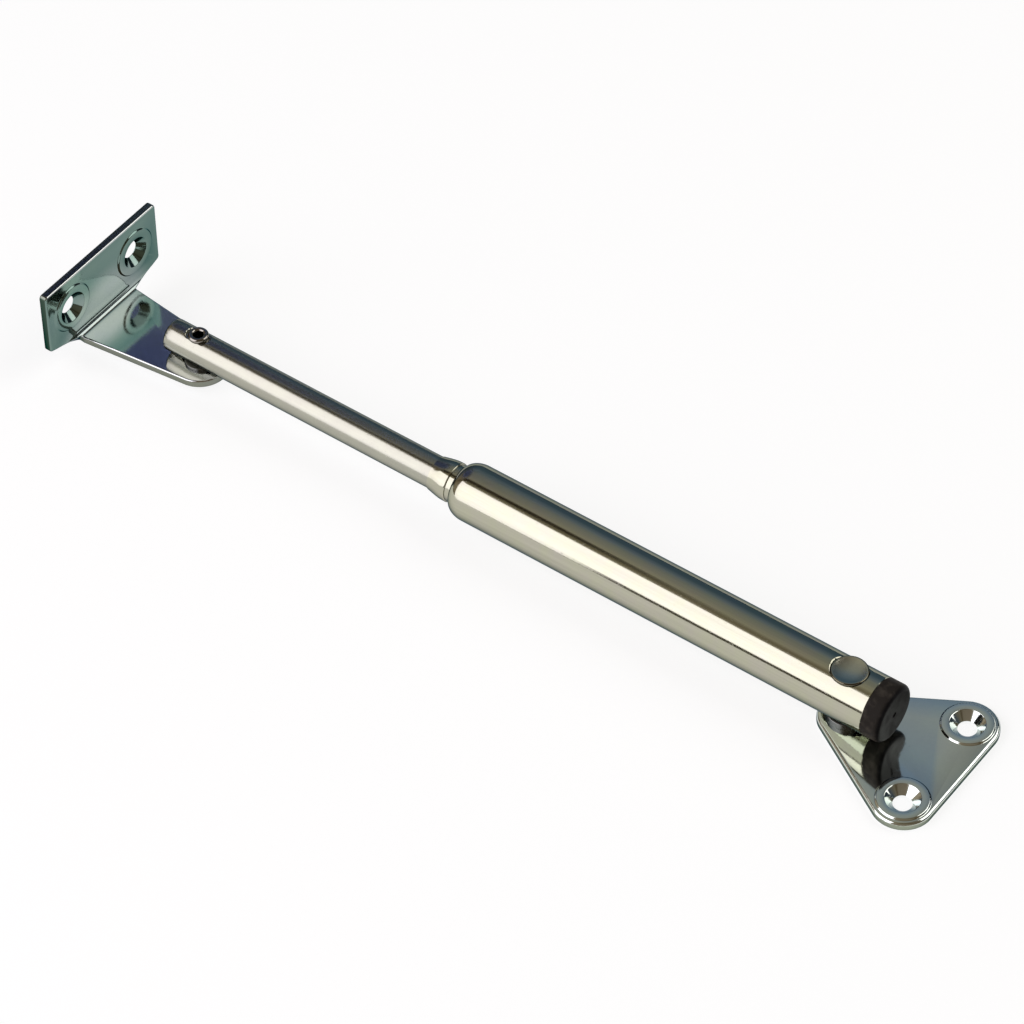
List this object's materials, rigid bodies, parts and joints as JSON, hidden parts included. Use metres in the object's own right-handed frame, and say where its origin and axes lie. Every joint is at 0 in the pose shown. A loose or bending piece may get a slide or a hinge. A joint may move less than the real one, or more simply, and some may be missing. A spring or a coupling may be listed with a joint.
{
  "type": "lid stay",
  "caption": "Sprung telescopic lid stay with a triangular base plate and a folded lid bracket that turn on rivets.",
  "frame": {"origin": "midway between the two base screw holes, on the base plate's mounting face", "axes": "+X along the stay towards the lid bracket, +Z out of the base plate's mounting face towards the tube, +Y to the left of +X"},
  "size_m": [0.2417, 0.0404, 0.0248],
  "materials": {
    "bright_plate": "steel with a polished nickel plate",
    "plain_steel": "plain steel, lightly oiled",
    "dark_washer": "blackened steel",
    "black_plastic": "moulded, slightly glossy",
    "white_plastic": "moulded acetal",
    "black_rubber": "matt"
  },
  "bodies": {
    "base": {"base_plate": "bright_plate", "base_washer": "dark_washer"},
    "tube": {"outer_tube": "bright_plate", "end_cap": "black_plastic", "base_rivet": "bright_plate", "guide_bush": "white_plastic", "stop_washer": "plain_steel", "stop_buffer": "black_rubber", "spring_seat": "white_plastic", "spring": "plain_steel"},
    "piston": {"piston": "white_plastic", "piston_ring": "black_rubber", "spring_follower": "plain_steel", "thrust_washer": "plain_steel"},
    "rod": {"rod": "bright_plate", "retaining_clip": "plain_steel", "lid_rivet": "bright_plate"},
    "lid": {"lid_bracket": "bright_plate", "lid_washer": "dark_washer"}
  },
  "joints": [
    {"name": "base_hinge", "type": "hinge", "parent": "base", "child": "tube", "pos_m": [0.023, 0, 0.0098], "axis": [0, 0, 1], "continuous": true},
    {"name": "rod_slide", "type": "slide", "parent": "tube", "child": "piston", "axis": [-1, 0, 0], "range_m": [0, 0.055], "stiffness_N_per_m": 680, "springref_m": -0.01, "deforming": ["spring"]},
    {"name": "rod_swivel", "type": "hinge", "parent": "piston", "child": "rod", "pos_m": [0.102, 0, 0.0098], "axis": [1, 0, 0], "continuous": true},
    {"name": "lid_hinge", "type": "hinge", "parent": "rod", "child": "lid", "pos_m": [0.204, 0, 0.0098], "axis": [0, 0, 1], "range_deg": [-130, 130]}
  ]
}
